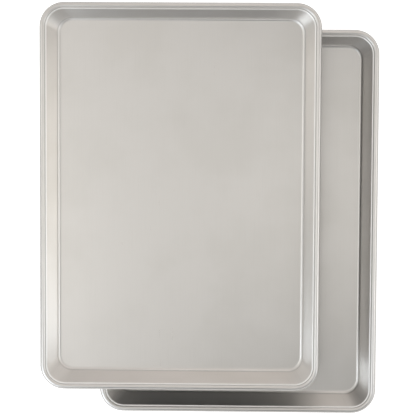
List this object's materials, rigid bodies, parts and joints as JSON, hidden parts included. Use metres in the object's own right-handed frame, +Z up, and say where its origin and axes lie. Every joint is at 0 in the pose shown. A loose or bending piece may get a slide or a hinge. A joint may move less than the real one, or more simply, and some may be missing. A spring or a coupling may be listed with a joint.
{
  "type": "jelly roll pan pair",
  "caption": "Shallow rectangular aluminium baking pans with sloped walls, rounded corners and rims curled round a steel wire, one pan resting across the other.",
  "frame": {"origin": "on the table, midway between the centres of the two pans", "axes": "+Y along the long sides of both pans towards the far end, +X across them towards the back pan's side, +Z up out of the pans"},
  "size_m": [0.3454, 0.4244, 0.0511],
  "materials": {
    "pan_sheet": "satin, uncoated natural sheet",
    "rim_wire": "dull galvanised wire"
  },
  "bodies": {
    "back_pan": {"back_pan_shell": "pan_sheet", "back_pan_rim_wire": "rim_wire"},
    "front_pan": {"front_pan_shell": "pan_sheet", "front_pan_rim_wire": "rim_wire"}
  },
  "joints": [
    {"name": "front_pan_lift", "type": "slide", "parent": "back_pan", "child": "front_pan", "axis": [0, 0, 1], "range_m": [0, 0.1]}
  ]
}
